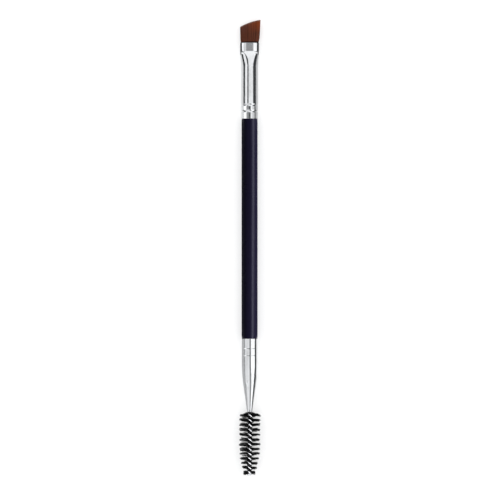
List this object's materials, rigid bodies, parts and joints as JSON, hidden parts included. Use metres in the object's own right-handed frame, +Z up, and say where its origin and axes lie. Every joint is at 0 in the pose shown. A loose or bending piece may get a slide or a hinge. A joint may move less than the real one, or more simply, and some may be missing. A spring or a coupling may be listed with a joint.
{
  "type": "eyebrow brush",
  "caption": "Double-ended eyebrow brush with an angled flat tuft, a twisted-wire spoolie, plated ferrules and a round lacquered wood handle.",
  "frame": {"origin": "centre of the bounding box at table height, under the middle of the brush as it lies", "axes": "+Y along the brush from the spoolie to the tuft, +Z up out of the tuft's flat face, +X towards the tuft's long side"},
  "size_m": [0.0081, 0.1716, 0.008],
  "materials": {
    "lacquered_wood": "blue-black lacquer, satin gloss",
    "plated_sheet": "nickel plated brass sheet, polished",
    "tuft_hair": "fine brown synthetic hair, darker at the roots",
    "wire": "bright drawn steel wire",
    "bristle": "black nylon",
    "glue": "hardened epoxy glue"
  },
  "bodies": {
    "root": {"handle": "lacquered_wood", "brush_ferrule": "plated_sheet", "brush_tuft": "tuft_hair", "tuft_glue": "glue", "spoolie_ferrule": "plated_sheet", "spoolie_wire": "wire", "spoolie_bristles": "bristle", "stem_glue": "glue"}
  },
  "joints": []
}
